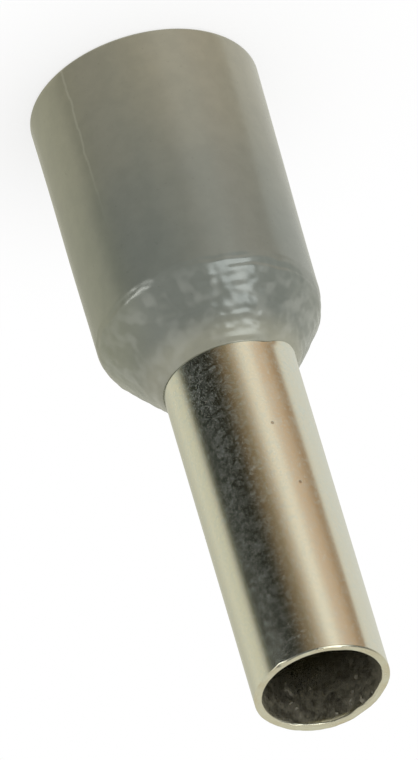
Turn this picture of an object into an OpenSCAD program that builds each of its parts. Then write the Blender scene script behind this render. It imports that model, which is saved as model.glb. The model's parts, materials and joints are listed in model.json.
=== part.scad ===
// Insulated wire ferrule: a thin metal tube with a moulded plastic collar over one end.
// It stands on the collar's open mouth, with the tube pointing up the Z axis. Sizes are in millimetres.
// A stripped wire goes in at the mouth: a funnel leads its strands into the tube, and its insulation
// stays in the collar.

/* [Metal tube] */
// Bore of the tube, which takes the wire's strands
tube_bore = 2.8; // [2.2:0.1:3.2]
// Thickness of the tube's wall
tube_wall = 0.2; // [0.15:0.05:0.3]
// Length of bare tube beyond the collar
pin_length = 8.8; // [6:0.1:12]
// Length of tube held inside the collar, all of it flared
held_length = 2.3; // [1.8:0.1:2.8]
// How far the flare opens the tube out, all round
flare_rise = 0.35; // [0.2:0.05:0.45]
// Radius of the bend in the tube's outside where the flare begins
flare_bend = 2; // [0.5:0.5:3]
// Round on the outer edge of the tube's cut end
tip_round = 0.04; // [0.02:0.01:0.08]

/* [Plastic collar] */
// Length of the collar, from its mouth to its lip
collar_length = 8.3; // [7:0.1:10]
// Bore of the collar, which takes the wire's insulation
collar_bore = 4.7; // [4.6:0.1:5.4]
// Thickness of the collar's wall at its mouth
mouth_wall = 0.4; // [0.35:0.05:0.6]
// Draft angle of the collar's outside, which narrows away from the mouth
draft = 0.6; // [0:0.1:1]
// Round on both edges of the mouth
mouth_round = 0.1; // [0.05:0.01:0.15]
// Length of the funnel from the collar's bore to the tube's flared end
funnel_length = 0.5; // [0.3:0.1:1]
// Length of the sloped nose, from the collar's side to its lip
nose_length = 1.5; // [1.2:0.05:1.8]
// Radius where the side turns into the nose
nose_round = 1.1; // [0.5:0.1:1.4]
// Thickness of the lip that closes round the tube
lip_wall = 0.04; // [0.02:0.01:0.12]
// Gap all round between the collar and the tube that it holds
grip_gap = 0.02; // [0.01:0.01:0.04]

/* [Hidden] */
$fn = 96;
// Number of facets in each rounded corner
round_steps = 8;

// Heights up the axis
tip_z = collar_length + pin_length;
held_end_z = collar_length - held_length;
funnel_z = held_end_z - funnel_length;
nose_z = collar_length - nose_length;

// Radii of the tube, whose wall keeps its thickness through the flare
bore_r = tube_bore / 2;
tube_r = bore_r + tube_wall;
flare_r = tube_r + flare_rise;
flare_angle = atan(flare_rise / held_length);
flare_bore_r = flare_r - tube_wall / cos(flare_angle);
flare_bore_top_z = collar_length - tube_wall * tan(flare_angle / 2);

// Radii of the collar, whose seat follows the outside of the tube's flare
cup_r = collar_bore / 2;
mouth_r = cup_r + mouth_wall;
nose_r = mouth_r - nose_z * tan(draft);
seat_r = flare_r + grip_gap;
neck_r = tube_r + grip_gap;
lip_r = neck_r + lip_wall;

// Outlines to turn about the axis, as a list of corners, each [radius, height] with its round
TUBE_OUTLINE = [
    [[flare_bore_r, held_end_z], 0],
    [[flare_r, held_end_z], 0],
    [[tube_r, collar_length], flare_bend],
    [[tube_r, tip_z], tip_round],
    [[bore_r, tip_z], 0],
    [[bore_r, flare_bore_top_z], flare_bend + tube_wall],
];
COLLAR_OUTLINE = [
    [[cup_r, 0], mouth_round],
    [[mouth_r, 0], mouth_round],
    [[nose_r, nose_z], nose_round],
    [[lip_r, collar_length], 0],
    [[neck_r, collar_length], 0],
    [[seat_r, held_end_z], 0],
    [[cup_r, funnel_z], 0],
];

// The vector of length 1 along v
function unit(v) = v / norm(v);

// Points along the round of radius r at corner p, where the edges to corners a and b meet. They swing
// about the round's centre, from the edge to a to the edge to b.
function round_points(a, p, b, r) =
    let (
        u = unit(a - p),
        v = unit(b - p),
        half = acos(u * v) / 2,
        centre = p + unit(u + v) * r / sin(half),
        middle = unit(p - centre),
        side = unit(u - v)
    )
    [
        for (i = [0 : round_steps])
            let (swing = (1 - 2 * i / round_steps) * (90 - half))
            centre + r * (middle * cos(swing) + side * sin(swing))
    ];

// All points of an outline, with its corners rounded
function rounded(outline) =
    let (n = len(outline))
    [
        for (i = [0 : n - 1])
            let (corner = outline[i][0], r = outline[i][1])
            each r == 0
                ? [corner]
                : round_points(outline[(i + n - 1) % n][0], corner, outline[(i + 1) % n][0], r)
    ];

// Drawn tube, cut square at the tip and flared inside the collar
module metal_tube() {
    color("silver") rotate_extrude() polygon(rounded(TUBE_OUTLINE));
}

// Moulded collar: a cup for the insulation, a funnel, and a seat that grips the flare up to a thin lip
module plastic_collar() {
    color("gray") rotate_extrude() polygon(rounded(COLLAR_OUTLINE));
}

metal_tube();
plastic_collar();
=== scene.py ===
import json
import math

import bpy
from mathutils import Matrix, Vector, noise


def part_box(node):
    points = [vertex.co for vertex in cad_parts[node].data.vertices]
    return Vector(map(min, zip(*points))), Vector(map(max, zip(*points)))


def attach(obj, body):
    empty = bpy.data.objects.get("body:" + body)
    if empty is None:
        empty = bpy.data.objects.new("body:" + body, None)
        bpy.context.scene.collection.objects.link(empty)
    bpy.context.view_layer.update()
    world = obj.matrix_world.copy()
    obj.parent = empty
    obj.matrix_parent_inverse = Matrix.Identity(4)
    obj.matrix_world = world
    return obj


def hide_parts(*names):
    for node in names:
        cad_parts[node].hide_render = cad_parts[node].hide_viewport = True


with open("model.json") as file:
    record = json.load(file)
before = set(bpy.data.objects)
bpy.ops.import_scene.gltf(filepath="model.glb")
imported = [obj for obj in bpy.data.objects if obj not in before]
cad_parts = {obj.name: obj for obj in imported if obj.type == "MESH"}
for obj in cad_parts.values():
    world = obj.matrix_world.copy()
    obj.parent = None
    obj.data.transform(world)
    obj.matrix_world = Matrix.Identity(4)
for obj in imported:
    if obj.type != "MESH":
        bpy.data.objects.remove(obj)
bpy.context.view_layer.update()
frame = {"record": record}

# ---------------------------------------------------------------------------------------------
# Metal tube. Seamless copper, drawn thin, cut off square at the tip and flared where the collar
# holds it, then tin plated all over. The cut leaves small burrs, and the plating is mottled.
# ---------------------------------------------------------------------------------------------
MM = 0.001
mounts = {mount["name"]: mount for mount in frame["record"]["mounts"]}
tube_low, tube_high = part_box("metal_tube")
_, collar_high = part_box("plastic_collar")

tube_radius = mounts["crimp_pin"]["dims"]["r_mm"] * MM
bore_radius = mounts["strand_bore"]["dims"]["r_mm"] * MM
wall = tube_radius - bore_radius
flare_radius = tube_high.x
flare_angle = math.atan2(flare_radius - tube_radius, collar_high.z - tube_low.z)
flare_bend = 2 * MM
outer_edge_round = 0.035 * MM
inner_edge_round = 0.055 * MM
burr_reach = 0.12 * MM
edge_reach = 0.06 * MM
ring_count = 288


def rounded_corner(before, corner, after, radius, steps):
    """Points of the arc that rounds the corner between two straight edges."""
    to_before = (before - corner).normalized()
    to_after = (after - corner).normalized()
    half = to_before.angle(to_after) / 2
    centre = corner + (to_before + to_after).normalized() * radius / math.sin(half)
    middle = (corner - centre).normalized()
    side = (to_before - to_after).normalized()
    points = []
    for i in range(steps + 1):
        swing = (1 - 2 * i / steps) * (math.pi / 2 - half)
        points.append(centre + radius * (middle * math.cos(swing) + side * math.sin(swing)))
    return points


def turned_outline(corners):
    """A closed outline of (radius, height) points. Each corner is its radius, its height, its round,
    the steps in that round, and the longest step along the edge that follows."""
    places = [Vector((radius, height)) for radius, height, _, _, _ in corners]
    turns = []
    for i, (_, _, bend, steps, _) in enumerate(corners):
        after = places[(i + 1) % len(places)]
        if bend:
            turns.append(rounded_corner(places[i - 1], places[i], after, bend, steps))
        else:
            turns.append([places[i]])
    outline = []
    for i, points in enumerate(turns):
        after = turns[(i + 1) % len(turns)][0]
        pieces = max(1, math.ceil((after - points[-1]).length / corners[i][4]))
        outline += points[:-1] + [points[-1].lerp(after, k / pieces) for k in range(pieces)]
    return outline


def turned_mesh(name, outline, shaped):
    """A mesh turned about the Z axis. shaped(radius, height, angle) gives each point's place."""
    points, faces = [], []
    size = len(outline)
    for j in range(ring_count):
        angle = 2 * math.pi * j / ring_count
        for radius, height in outline:
            points.append(shaped(radius, height, angle))
    for j in range(ring_count):
        here, after = j * size, (j + 1) % ring_count * size
        for i in range(size):
            k = (i + 1) % size
            faces.append((here + i, after + i, after + k, here + k))
    mesh = bpy.data.meshes.new(name)
    mesh.from_pydata(points, [], faces)
    mesh.polygons.foreach_set("use_smooth", [True] * len(faces))
    mesh.update()
    piece = bpy.data.objects.new(name, mesh)
    bpy.context.scene.collection.objects.link(piece)
    return piece


def hill(value, centre, width):
    """1 at the centre, falling smoothly to nearly 0 about two widths away."""
    return math.exp(-(((value - centre) / width) ** 2))


def angle_between(a, b):
    """How far angle a is past angle b, from -pi to pi."""
    return math.atan2(math.sin(a - b), math.cos(a - b))


def smooth_step(low, high, value):
    """0 below low, 1 above high, and a soft slope between."""
    share = min(1.0, max(0.0, (value - low) / (high - low)))
    return share * share * (3 - 2 * share)


# Burrs that the cutter left on the end: bearing in degrees from the front towards +X, half width in
# degrees, how far it leans in over the bore, and how far it stands up, both in millimetres. The
# widest is where the cutter came through.
burrs = [
    (180, 38, 0.07, 0.085),
    (159, 8, 0.05, 0.01),
    (-150, 5, 0.05, 0.0),
    (-118, 10, 0.02, -0.02),
    (0, 75, -0.028, -0.012),
    (-25, 5, 0.0, 0.012),
]

# Nicks in the outer edge of the end: bearing, half width in degrees, and depth in millimetres
nicks = [(29, 4.5, 0.06), (-62, 2.5, 0.025), (48, 2, 0.03), (3, 2.5, 0.03)]


def tube_shape(radius, height, angle):
    """Adds the cut end's burrs and nicks, and a faint unevenness of the drawn wall."""
    bearing = angle + math.pi / 2
    across, along = math.cos(angle) / MM, math.sin(angle) / MM
    drawn = noise.noise(Vector((radius * across * 0.6, radius * along * 0.6, height / MM * 0.25)))
    from_tip = tube_high.z - height
    near_tip = math.exp(-((from_tip / burr_reach) ** 2))
    at_tip = math.exp(-((from_tip / edge_reach) ** 2))
    inner = 1 - smooth_step(bore_radius, tube_radius, radius)
    ragged = noise.noise(Vector((radius * across * 3.5, radius * along * 3.5, 7.3)))
    fine = noise.noise(Vector((radius * across * 11, radius * along * 11, 2.1)))
    lift = (ragged * 0.012 + fine * 0.005) * MM * near_tip
    shift = drawn * 0.003 * MM + (ragged * 0.008 + fine * 0.004) * MM * near_tip * inner
    for place, spread, inward, upward in burrs:
        amount = hill(angle_between(bearing, math.radians(place)), 0, math.radians(spread)) * near_tip
        shift -= amount * inward * MM * inner * at_tip
        lift += amount * upward * MM
    for place, spread, depth in nicks:
        amount = hill(angle_between(bearing, math.radians(place)), 0, math.radians(spread))
        from_edge = max(0, from_tip) + max(0, tube_radius - radius)
        cut = max(0.0, depth * MM * amount - from_edge) / 2
        lift -= cut
        shift -= cut
    radius += shift
    return radius * math.cos(angle), radius * math.sin(angle), height + lift


flare_wall = wall / math.cos(flare_angle)
flare_top = collar_high.z - wall * math.tan(flare_angle / 2)
long_step = 0.12 * MM
fine_step = 0.016 * MM
fine_length = 0.16 * MM
tube_outline = turned_outline(
    [
        (flare_radius - flare_wall, tube_low.z, 0, 0, long_step),
        (flare_radius, tube_low.z, 0, 0, long_step),
        (tube_radius, collar_high.z, flare_bend, 8, long_step),
        (tube_radius, tube_high.z - fine_length, 0, 0, fine_step),
        (tube_radius, tube_high.z, outer_edge_round, 3, fine_step),
        (bore_radius, tube_high.z, inner_edge_round, 4, fine_step),
        (bore_radius, tube_high.z - fine_length, 0, 0, long_step),
        (bore_radius, flare_top, flare_bend + wall, 8, long_step),
    ]
)
tube = turned_mesh("tinned_tube", tube_outline, tube_shape)


def shade(tree, kind, inputs=None, **settings):
    """Adds a shader node. Each input is a plain value, or the output of another node."""
    made = tree.nodes.new("ShaderNode" + kind)
    for key, value in settings.items():
        setattr(made, key, value)
    for key, value in (inputs or {}).items():
        if isinstance(value, bpy.types.NodeSocket):
            tree.links.new(value, made.inputs[key])
        else:
            made.inputs[key].default_value = value
    return made


def calculate(tree, operation, first, second=0.0, third=0.0):
    """The result of one sum."""
    made = shade(tree, "Math", {0: first, 1: second, 2: third}, operation=operation)
    return made.outputs["Value"]


def rescale(tree, value, low, high, to_low=0.0, to_high=1.0):
    """Carries low..high to to_low..to_high with soft ends."""
    inputs = {"Value": value, "From Min": low, "From Max": high, "To Min": to_low, "To Max": to_high}
    return shade(tree, "MapRange", inputs, interpolation_type="SMOOTHSTEP").outputs["Result"]


def blend_colours(tree, share, first, second):
    """first where share is 0, second where it is 1."""
    made = shade(tree, "Mix", {0: share, 6: first, 7: second}, data_type="RGBA")
    return made.outputs[2]


def plain_material(name):
    """A new material's node tree, its output already fed by a Principled shader."""
    material = bpy.data.materials.new(name)
    material.use_nodes = True
    tree = material.node_tree
    tree.nodes.clear()
    surface = tree.nodes.new("ShaderNodeBsdfPrincipled")
    output = tree.nodes.new("ShaderNodeOutputMaterial")
    tree.links.new(surface.outputs["BSDF"], output.inputs["Surface"])
    return material, tree, surface


def place_in_mm(tree, stretch):
    """The point on the object in millimetres, stretched along each axis."""
    place = shade(tree, "TexCoord").outputs["Object"]
    factors = [1000 * s for s in stretch]
    return shade(tree, "VectorMath", {0: place, 1: factors}, operation="MULTIPLY").outputs["Vector"]


def cloud(tree, place, scale, detail=2.0, roughness=0.5):
    """Noise from 0 to 1, with features about 1/scale millimetres across."""
    inputs = {"Vector": place, "Scale": scale, "Detail": detail, "Roughness": roughness}
    return shade(tree, "TexNoise", inputs).outputs["Fac"]


def speckle_group():
    """Fine scattered specks, shared by the plating and the plastic."""
    group = bpy.data.node_groups.new("fine_specks", "ShaderNodeTree")
    sockets = {"Place": "NodeSocketVector", "Per mm": "NodeSocketFloat", "Share": "NodeSocketFloat"}
    for name, kind in sockets.items():
        group.interface.new_socket(name, in_out="INPUT", socket_type=kind)
    group.interface.new_socket("Specks", in_out="OUTPUT", socket_type="NodeSocketFloat")
    given = group.nodes.new("NodeGroupInput")
    result = group.nodes.new("NodeGroupOutput")
    inputs = {"Vector": given.outputs["Place"], "Scale": given.outputs["Per mm"], "Detail": 2.0}
    grain = shade(group, "TexNoise", inputs).outputs["Fac"]
    lowered = calculate(group, "MULTIPLY", given.outputs["Share"], 0.2)
    threshold = calculate(group, "SUBTRACT", 0.72, lowered)
    past = calculate(group, "SUBTRACT", grain, threshold)
    steep = shade(group, "Math", {0: past, 1: 14.0}, operation="MULTIPLY", use_clamp=True)
    group.links.new(steep.outputs["Value"], result.inputs["Specks"])
    return group


specks = speckle_group()


def specks_on(tree, place, per_mm, share):
    """Uses the speck group in a material."""
    made = shade(tree, "Group", node_tree=specks)
    tree.links.new(place, made.inputs["Place"])
    made.inputs["Per mm"].default_value = per_mm
    made.inputs["Share"].default_value = share
    return made.outputs["Specks"]


# Pits in the plating: bearing in degrees from the front towards +X, and height and size in
# millimetres. The last is at the back.
plating_pits = [(-24, 10.7, 0.055), (-33, 12.4, 0.05), (-150, 14.1, 0.05)]


def tin_plating():
    """Bright tin over copper: a spangle of fine dull crystals, a scatter of specks, three small
    pits, a duller bore and a thin line of bare copper showing at the cut end. The crystals' cooler,
    greener tint is a painted reflection of cool light."""
    tube_mm = tube_radius / MM
    bore_mm = bore_radius / MM
    tip_mm = tube_high.z / MM
    material, tree, surface = plain_material("tin_plating")
    place = place_in_mm(tree, (1, 1, 1))
    axes = shade(tree, "SeparateXYZ", {"Vector": place}).outputs
    flat_place = shade(tree, "CombineXYZ", {"X": axes["X"], "Y": axes["Y"]}).outputs["Vector"]
    radius = shade(tree, "VectorMath", {0: flat_place}, operation="LENGTH").outputs["Value"]
    in_bore = rescale(tree, radius, bore_mm + 0.07, bore_mm + 0.03)
    crystals = {"Vector": place, "Scale": 6.0, "Detail": 4.0, "Roughness": 0.72, "Distortion": 1.2}
    spangle = rescale(tree, shade(tree, "TexNoise", crystals).outputs["Fac"], 0.42, 0.66)
    wider = rescale(tree, cloud(tree, place, 1.3, 2.0), 0.35, 0.65, 0.75, 1.0)
    dots = shade(tree, "TexVoronoi", {"Vector": place, "Scale": 8.0, "Randomness": 1.0})
    dots = rescale(tree, dots.outputs["Distance"], 0.34, 0.12, 0.0, 0.8)
    dots = calculate(tree, "MULTIPLY", dots, wider)
    spangle = calculate(tree, "MAXIMUM", calculate(tree, "MULTIPLY", spangle, 0.8), dots)
    thicker = rescale(tree, axes["Z"], 9.0, 16.5, 1.15, 0.72)
    spangle = calculate(tree, "MULTIPLY", spangle, calculate(tree, "MULTIPLY", wider, thicker))
    fine = specks_on(tree, place, 11.0, 0.45)
    # The dull crystals are the plating's own; their cooler, greener tint is a painted reflection of cool
    # light.
    bright = (0.71, 0.70, 0.60, 1)
    dull_crystals_painted_cool = (0.64, 0.68, 0.62, 1)
    tin = blend_colours(tree, spangle, bright, dull_crystals_painted_cool)
    bare_share = rescale(tree, cloud(tree, place, 2.5), 0.25, 0.7, 0.35, 1.0)
    cut_end = rescale(tree, axes["Z"], tip_mm - 0.08, tip_mm - 0.04)
    cut_end = calculate(tree, "MULTIPLY", cut_end, bare_share)
    tin = blend_colours(tree, cut_end, tin, (0.62, 0.57, 0.44, 1))
    tin = blend_colours(tree, in_bore, tin, (0.62, 0.59, 0.47, 1))
    pits = 0.0
    for place_round, pit_height, pit_size in plating_pits:
        turn = math.radians(place_round)
        centre = (tube_mm * math.sin(turn), -tube_mm * math.cos(turn), pit_height)
        away = shade(tree, "VectorMath", {0: place, 1: centre}, operation="DISTANCE").outputs["Value"]
        pits = calculate(tree, "MAXIMUM", pits, rescale(tree, away, pit_size, pit_size * 0.5))
    tin = blend_colours(tree, calculate(tree, "MULTIPLY", pits, 0.6), tin, (0.22, 0.16, 0.10, 1))
    tree.links.new(tin, surface.inputs["Base Color"])
    milky = calculate(tree, "MULTIPLY_ADD", spangle, 0.12, 0.01)
    milky = calculate(tree, "MULTIPLY_ADD", fine, 0.11, milky)
    milky = calculate(tree, "MULTIPLY", milky, rescale(tree, in_bore, 0.0, 1.0, 1.0, 0.3))
    near_mouth = rescale(tree, axes["Z"], 15.2, 17.1, 0.0, 0.15)
    mottle = rescale(tree, cloud(tree, place, 4.0, 4.0, 0.7), 0.36, 0.64, 0.35, 1.6)
    blots = rescale(tree, cloud(tree, place, 4.5, 1.0), 0.66, 0.74, 0.0, 2.0)
    bore_dull = calculate(tree, "MULTIPLY", near_mouth, calculate(tree, "ADD", mottle, blots))
    bore_dull = calculate(tree, "ADD", bore_dull, 0.012)
    milky = calculate(tree, "MULTIPLY_ADD", in_bore, bore_dull, milky)
    tree.links.new(calculate(tree, "SUBTRACT", 1.0, milky), surface.inputs["Metallic"])
    rough = rescale(tree, spangle, 0.0, 1.0, 0.14, 0.19)
    rough = calculate(tree, "MULTIPLY_ADD", cut_end, 0.12, rough)
    tree.links.new(rough, surface.inputs["Roughness"])
    lines = cloud(tree, place_in_mm(tree, (7, 7, 0.5)), 1.0, 2.0)
    relief = calculate(tree, "MULTIPLY_ADD", spangle, 0.4, lines)
    relief = calculate(tree, "MULTIPLY_ADD", pits, -8.0, relief)
    bump = shade(tree, "Bump", {"Strength": 1.0, "Distance": 0.0003 * MM, "Height": relief})
    tree.links.new(bump.outputs["Normal"], surface.inputs["Normal"])
    return material


tube.data.materials.append(tin_plating())
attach(tube, "root")
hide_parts("metal_tube")

# ---------------------------------------------------------------------------------------------
# Plastic collar. Grey polypropylene, moulded in one piece: a thin cup for the wire's insulation,
# a funnel, and a nose that closes on the tube in a thin lip. It sits a little off the tube's axis.
# ---------------------------------------------------------------------------------------------
cup_radius = mounts["wire_entry"]["dims"]["r_mm"] * MM
cup_depth = mounts["wire_entry"]["dims"]["length_mm"] * MM
mouth_radius = collar_high.x
mouth_round = 0.1 * MM
grip_gap = 0.004 * MM
lip_wall = 0.02 * MM
neck_radius = tube_radius + grip_gap
nose_height = 6.8 * MM
draft = math.radians(0.6)
nose_radius = mouth_radius - nose_height * math.tan(draft)
nose_round = 1.1 * MM
lean_at_lip = 0.118 * MM
lean_per_length = 0.007
lip_rise = 0.04 * MM
lip_drop = 0.22 * MM
ripple_length = 0.23
below_funnel = tube_low.z - 0.6 * MM


def collar_shape(radius, height, angle):
    """Sets the collar off the tube's axis, slants its lip and ripples its nose, as the mould and the
    cooling left it. The neck stays true to the tube that it grips."""
    across, along = math.cos(angle), math.sin(angle)
    seat = neck_radius + 0.01 * MM + (collar_high.z - height) * math.tan(flare_angle)
    held = height > below_funnel and radius < min(flare_radius + 2 * grip_gap, seat)
    outside = not held and (radius > cup_radius + 0.15 * MM or height > tube_low.z)
    share = min(1.0, max(0.0, (height - nose_height) / (collar_high.z - nose_height)))
    place = Vector((radius * across / MM, radius * along / MM, height / MM))
    if outside:
        nose = smooth_step(6.2 * MM, 7.0 * MM, height) * (1 - smooth_step(8.0 * MM, 8.25 * MM, height))
        wander = noise.noise(place * 0.8) * 4 + noise.noise(place * 2.3) * 2.5
        strength = noise.noise(place * 1.7 + Vector((3, 1, 5)))
        ripple = math.sin(height / MM * 2 * math.pi / ripple_length + wander) * (0.7 + 1.2 * strength)
        lumps = noise.noise(place * 2.6) + 0.6 * noise.noise(place * 5.5)
        sink = noise.noise(place * 0.35)
        bead = hill(height, 8.19 * MM, 0.06 * MM)
        radius += (ripple * 0.007 + lumps * 0.018) * MM * nose + sink * 0.012 * MM * (1 - share)
        radius += bead * 0.014 * MM
    x, y = radius * across, radius * along
    if not held:
        x += (lean_at_lip + lean_per_length * (height - collar_high.z)) * (1 - share**0.65)
    height += (lip_rise - lip_drop * smooth_step(0.6, 1.0, -across)) * share**1.15
    return x, y, height


collar_step = 0.1 * MM
nose_step = 0.03 * MM
collar_outline = turned_outline(
    [
        (cup_radius, 0, mouth_round, 4, collar_step),
        (mouth_radius, 0, mouth_round, 5, collar_step),
        (nose_radius, nose_height, nose_round, 26, nose_step),
        (neck_radius + lip_wall, collar_high.z, 0, 0, nose_step),
        (neck_radius, collar_high.z, 0, 0, 2 * collar_step),
        (flare_radius + grip_gap, tube_low.z, 0, 0, collar_step),
        (cup_radius, mouth_round + cup_depth, 0, 0, 2 * collar_step),
    ]
)
collar = turned_mesh("moulded_collar", collar_outline, collar_shape)


def grey_plastic():
    """Semi-gloss grey plastic with painted light: lighter and warmer towards the mouth, standing in for
    light that comes through the thin wall, lighter at the lip, lighter and yellower on the +X side, and in
    lighter bluish blotches on the nose. A faint parting line runs down one side, raised in the bump and
    painted lighter as a highlight."""
    material, tree, surface = plain_material("grey_plastic")
    place = place_in_mm(tree, (1, 1, 1))
    axes = shade(tree, "SeparateXYZ", {"Vector": place}).outputs
    height = axes["Z"]
    # Painted light: the grey turns lighter and warmer towards the mouth, standing in for light that comes
    # through the thin wall.
    thick = (0.156, 0.167, 0.145, 1)
    thin_wall_painted_glow = (0.240, 0.228, 0.170, 1)
    painted_glow_height = calculate(tree, "ADD", height, calculate(tree, "MULTIPLY", cloud(tree, place, 0.5), 2.0))
    grey = blend_colours(tree, rescale(tree, painted_glow_height, 7.0, 0.8), thick, thin_wall_painted_glow)
    # Painted light: the +X side of the collar is painted lighter and yellower.
    side_painted_light_share = rescale(tree, axes["X"], 1.2, 2.7, 0.0, 0.5)
    grey = blend_colours(tree, side_painted_light_share, grey, (0.24, 0.245, 0.14, 1))
    # Painted light: the thin lip is painted lighter, as light that comes through it.
    lip_painted_glow_share = rescale(tree, height, 7.6, 8.2, 0.0, 0.85)
    grey = blend_colours(tree, lip_painted_glow_share, grey, (0.29, 0.285, 0.22, 1))
    uneven = rescale(tree, cloud(tree, place, 2.2, 4.0, 0.6), 0.3, 0.7, 0.0, 0.12)
    grey = blend_colours(tree, uneven, grey, (0.06, 0.07, 0.06, 1))
    # Painted light: lighter bluish blotches where the nose begins.
    nose_painted_light = rescale(tree, cloud(tree, place, 2.6, 1.0), 0.42, 0.7)
    nose_painted_light = calculate(tree, "MULTIPLY", nose_painted_light, rescale(tree, height, 6.5, 7.1, 0.0, 0.2))
    grey = blend_colours(tree, nose_painted_light, grey, (0.42, 0.43, 0.39, 1))
    dark_specks = calculate(tree, "MULTIPLY", specks_on(tree, place, 9.0, 0.1), 0.18)
    grey = blend_colours(tree, dark_specks, grey, (0.05, 0.05, 0.045, 1))
    angle = calculate(tree, "ARCTAN2", axes["X"], calculate(tree, "MULTIPLY", axes["Y"], -1.0))
    drift = calculate(tree, "MULTIPLY_ADD", cloud(tree, place_in_mm(tree, (0, 0, 1)), 1.4, 3.0), 0.09, 0.62)
    past_seam = calculate(tree, "ABSOLUTE", calculate(tree, "SUBTRACT", angle, drift))
    parting_line_and_painted_highlight = rescale(tree, past_seam, 0.016, 0.004)
    parting_line_and_painted_highlight = calculate(tree, "MULTIPLY", parting_line_and_painted_highlight, rescale(tree, height, 5.0, 1.5))
    # The parting line is raised in the bump below; its lighter colour here is a painted highlight.
    grey = blend_colours(tree, calculate(tree, "MULTIPLY", parting_line_and_painted_highlight, 0.13), grey, (0.55, 0.55, 0.45, 1))
    tree.links.new(grey, surface.inputs["Base Color"])
    rough = rescale(tree, cloud(tree, place, 3.0, 3.0), 0.3, 0.7, 0.13, 0.2)
    rough = calculate(tree, "ADD", rough, rescale(tree, height, 6.2, 7.0, 0.0, 0.06))
    tree.links.new(rough, surface.inputs["Roughness"])
    surface.inputs["IOR"].default_value = 1.68
    relief = cloud(tree, place, 7.0, 3.0, 0.6)
    relief = calculate(tree, "MULTIPLY_ADD", parting_line_and_painted_highlight, 1.2, relief)
    bump = shade(tree, "Bump", {"Strength": 1.0, "Distance": 0.0015 * MM, "Height": relief})
    tree.links.new(bump.outputs["Normal"], surface.inputs["Normal"])
    return material


collar.data.materials.append(grey_plastic())
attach(collar, "root")
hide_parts("plastic_collar")

# ---------------------------------------------------------------------------------------------
# Floor. A wide pale sheet that the collar's mouth stands on. It is plain white to the camera and
# keeps a soft shadow near the part.
# ---------------------------------------------------------------------------------------------
floor_size = 4.0
shadow_start = 3.2 * MM
shadow_end = 9 * MM
floor_mesh = bpy.data.meshes.new("floor")
half = floor_size / 2
floor_corners = [(-half, -half, 0), (half, -half, 0), (half, half, 0), (-half, half, 0)]
floor_mesh.from_pydata(floor_corners, [], [(0, 1, 2, 3)])
floor = bpy.data.objects.new("floor", floor_mesh)
bpy.context.scene.collection.objects.link(floor)
floor_material = bpy.data.materials.new("floor_white")
floor_material.use_nodes = True
floor_tree = floor_material.node_tree
floor_tree.nodes.clear()
white = (1, 1, 1, 1)
matt = shade(floor_tree, "BsdfDiffuse", {"Color": (0.98, 0.98, 0.99, 1)})
glow = shade(floor_tree, "Emission", {"Color": white, "Strength": 1.0})
spot = shade(floor_tree, "NewGeometry").outputs["Position"]
reach = shade(floor_tree, "VectorMath", {0: spot}, operation="LENGTH").outputs["Value"]
shadow_share = rescale(floor_tree, reach, shadow_start, shadow_end, 0.3, 0.0)
floor_mix = shade(floor_tree, "MixShader", {0: shadow_share, 1: glow.outputs[0], 2: matt.outputs[0]})
floor_out = floor_tree.nodes.new("ShaderNodeOutputMaterial")
floor_tree.links.new(floor_mix.outputs[0], floor_out.inputs["Surface"])
floor_material.cycles.emission_sampling = "NONE"
floor_mesh.materials.append(floor_material)
floor.visible_glossy = False
floor.visible_diffuse = False

# ---------------------------------------------------------------------------------------------
# Light tent. A round screen that only shines in reflections: white behind the part, and in front
# a dark flag, a brown and a tan card, a bright strip light and a small one, to show the shape.
# ---------------------------------------------------------------------------------------------
tent_radius = 60 * MM
tent_half_height = 110 * MM
tent_sides = 96
tent_points, tent_faces = [], []
for side in range(tent_sides):
    turn = 2 * math.pi * side / tent_sides
    x, y = tent_radius * math.cos(turn), tent_radius * math.sin(turn)
    tent_points += [(x, y, -tent_half_height), (x, y, tent_half_height)]
    after = (side + 1) % tent_sides
    tent_faces.append((2 * side, 2 * side + 1, 2 * after + 1, 2 * after))
tent_mesh = bpy.data.meshes.new("light_tent")
tent_mesh.from_pydata(tent_points, [], tent_faces)
tent = bpy.data.objects.new("light_tent", tent_mesh)
bpy.context.scene.collection.objects.link(tent)

# What hangs in the tent, going round from the back past -X, the front and +X: bearing in degrees
# and colour
cards = [
    (-180, (0.66, 0.65, 0.56)),
    (-140, (0.77, 0.77, 0.71)),
    (-106, (0.82, 0.80, 0.73)),
    (-95, (0.80, 0.76, 0.66)),
    (-89, (0.42, 0.31, 0.21)),
    (-80, (0.42, 0.29, 0.18)),
    (-64, (0.66, 0.49, 0.34)),
    (-52, (0.77, 0.61, 0.47)),
    (-42, (0.93, 0.83, 0.69)),
    (-34, (0.93, 0.84, 0.70)),
    (-27, (0.86, 0.78, 0.65)),
    (-16, (0.52, 0.42, 0.31)),
    (-5, (0.26, 0.20, 0.12)),
    (7, (0.15, 0.11, 0.065)),
    (18, (0.05, 0.042, 0.025)),
    (30, (0.02, 0.02, 0.014)),
    (58, (0.02, 0.023, 0.02)),
    (74, (0.03, 0.035, 0.028)),
    (82, (0.16, 0.16, 0.12)),
    (90, (0.55, 0.53, 0.44)),
    (98, (0.72, 0.70, 0.57)),
    (121, (0.78, 0.76, 0.63)),
    (152, (0.58, 0.57, 0.47)),
    (180, (0.62, 0.61, 0.52)),
]
# What hangs above them
upper_cards = [
    (-180, (0.76, 0.76, 0.66)),
    (-118, (0.76, 0.76, 0.66)),
    (-98, (0.16, 0.18, 0.18)),
    (38, (0.16, 0.18, 0.18)),
    (58, (0.70, 0.72, 0.64)),
    (110, (0.78, 0.78, 0.68)),
    (180, (0.76, 0.76, 0.66)),
]


def colours_round(tree, bearing, places):
    """The colour at each bearing, blended between the ones listed."""
    along = calculate(tree, "MULTIPLY_ADD", bearing, 1 / 360, 0.5)
    ramp = shade(tree, "ValToRGB", {"Fac": along})
    stops = ramp.color_ramp.elements
    for number, (turn, colour) in enumerate(places):
        share = turn / 360 + 0.5
        stop = stops[number] if number < len(stops) else stops.new(share)
        stop.position = share
        stop.color = (*colour, 1)
    return ramp.outputs["Color"]


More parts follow.
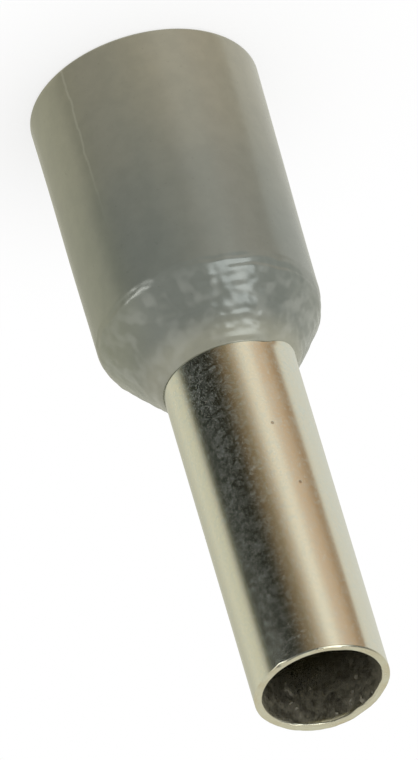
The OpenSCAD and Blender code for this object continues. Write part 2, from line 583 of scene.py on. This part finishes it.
tent_material = bpy.data.materials.new("tent_cards")
tent_material.use_nodes = True
tent_tree = tent_material.node_tree
tent_tree.nodes.clear()
tent_place = shade(tent_tree, "SeparateXYZ", {0: shade(tent_tree, "NewGeometry").outputs["Position"]})
forward = calculate(tent_tree, "MULTIPLY", tent_place.outputs["Y"], -1.0)
bearing = calculate(tent_tree, "ARCTAN2", tent_place.outputs["X"], forward)
bearing = calculate(tent_tree, "MULTIPLY", bearing, 180 / math.pi)
height_mm = calculate(tent_tree, "MULTIPLY", tent_place.outputs["Z"], 1000.0)
to_front = calculate(tent_tree, "ABSOLUTE", bearing)
upper_lean = rescale(tent_tree, height_mm, -33.0, -22.0)
lower_lean = rescale(tent_tree, height_mm, -33.0, -34.5, 0.0, 1.1)
lean = calculate(tent_tree, "MAXIMUM", upper_lean, lower_lean)
narrowed = calculate(tent_tree, "MULTIPLY_ADD", lean, -0.034, 1.0)
lean_share = rescale(tent_tree, bearing, -112.0, -66.0, 0.02, 0.082)
leaning = calculate(tent_tree, "MULTIPLY", calculate(tent_tree, "MULTIPLY", lean, lean_share), to_front)
card_bearing = calculate(tent_tree, "MULTIPLY_ADD", bearing, narrowed, leaning)
above = rescale(tent_tree, height_mm, -20.0, -7.0)
lower_room = colours_round(tent_tree, card_bearing, cards)
upper_room = colours_round(tent_tree, bearing, upper_cards)
tent_colour = blend_colours(tent_tree, above, lower_room, upper_room)


def window(value, low, high, soft):
    """1 between low and high, with soft edges outside them."""
    rise = rescale(tent_tree, value, low - soft, low)
    fall = rescale(tent_tree, value, high, high + soft, 1.0, 0.0)
    return calculate(tent_tree, "MULTIPLY", rise, fall)


strip_colour = (3.3, 3.6, 3.6, 1)
small_light_colour = (5.0, 5.1, 4.8, 1)
strip_width = window(bearing, -50.0, -25.0, 12.0)
strip_height = window(height_mm, 4.0, 37.0, 8.0)
strip = calculate(tent_tree, "MULTIPLY", strip_width, strip_height)
strip_end = window(bearing, -42.0, -36.0, 7.0)
strip_end = calculate(tent_tree, "MULTIPLY", strip_end, rescale(tent_tree, height_mm, -34, -6))
strip = calculate(tent_tree, "MAXIMUM", strip, calculate(tent_tree, "MULTIPLY", strip_end, 0.07))
small_width = window(bearing, 44.0, 64.0, 5.0)
small_height = window(height_mm, -8.0, 0.0, 3.0)
small = calculate(tent_tree, "MULTIPLY", small_width, small_height)
lit = blend_colours(tent_tree, strip, tent_colour, strip_colour)
lights = blend_colours(tent_tree, small, lit, small_light_colour)
tent_glow = shade(tent_tree, "Emission", {"Color": lights, "Strength": 1.0})
tent_out = tent_tree.nodes.new("ShaderNodeOutputMaterial")
tent_tree.links.new(tent_glow.outputs[0], tent_out.inputs["Surface"])
tent_material.cycles.emission_sampling = "NONE"
tent_mesh.materials.append(tent_material)
tent.visible_camera = False
tent.visible_diffuse = False
tent.visible_transmission = False
tent.visible_shadow = False

# ---------------------------------------------------------------------------------------------
# Surroundings. White behind everything, and a plain soft light from all round that is stronger
# from -X and the front. Reflections see a cream room with one lamp overhead.
# ---------------------------------------------------------------------------------------------
world = bpy.data.worlds.new("studio")
bpy.context.scene.world = world
world.use_nodes = True
world.cycles.sampling_method = "NONE"
sky = world.node_tree
sky.nodes.clear()
toward = shade(sky, "TexCoord").outputs["Generated"]
key_way = Vector((-0.86, -0.45, 0.25)).normalized()
facing = shade(sky, "VectorMath", {0: toward, 1: key_way}, operation="DOT_PRODUCT").outputs["Value"]
level = calculate(sky, "MULTIPLY_ADD", facing, 0.4, 0.98)
room = shade(sky, "Background", {"Color": (1, 1, 0.985, 1), "Strength": level})
backdrop = shade(sky, "Background", {"Color": white, "Strength": 1.0})
lamp_way = Vector((-0.44, -0.24, 0.87)).normalized()
past_lamp = shade(sky, "VectorMath", {0: toward, 1: lamp_way}, operation="DOT_PRODUCT").outputs["Value"]
lamp = rescale(sky, past_lamp, 0.94, 0.975)
overhead = blend_colours(sky, lamp, (0.68, 0.67, 0.58, 1), (5.0, 5.0, 4.7, 1))
cream = shade(sky, "Background", {"Color": overhead, "Strength": 1.0})
ray = shade(sky, "LightPath").outputs
glossy_or_not = shade(sky, "MixShader", {0: ray["Is Glossy Ray"], 1: room.outputs[0], 2: cream.outputs[0]})
inside = glossy_or_not.outputs[0]
seen = shade(sky, "MixShader", {0: ray["Is Camera Ray"], 1: inside, 2: backdrop.outputs[0]})
sky_out = sky.nodes.new("ShaderNodeOutputWorld")
sky.links.new(seen.outputs[0], sky_out.inputs["Surface"])

# ---------------------------------------------------------------------------------------------
# Camera. A long lens that looks down on the tube's open end, rolled over so that the tube points
# downwards.
# ---------------------------------------------------------------------------------------------
camera_height_angle = math.radians(33.83)
camera_roll = math.radians(163.36)
camera_distance = 405.0 * MM
aim = Vector((0, 0, 8.5 * MM))
aim_right = -0.5495 * MM
aim_up = 0.1933 * MM
back = Vector((0, -math.cos(camera_height_angle), math.sin(camera_height_angle)))
level_right = Vector((1, 0, 0))
level_up = back.cross(level_right)
right = level_right * math.cos(camera_roll) + level_up * math.sin(camera_roll)
up = back.cross(right)
camera_data = bpy.data.cameras.new("camera")
camera_data.sensor_width = 36
camera_data.lens = 829.9
camera_data.clip_start = 0.01
camera = bpy.data.objects.new("camera", camera_data)
bpy.context.scene.collection.objects.link(camera)
stand = aim + right * aim_right + up * aim_up + back * camera_distance
turned = Matrix((right, up, back)).transposed().to_4x4()
camera.matrix_world = Matrix.Translation(stand) @ turned
bpy.context.scene.camera = camera
bpy.context.scene.view_settings.view_transform = "Standard"
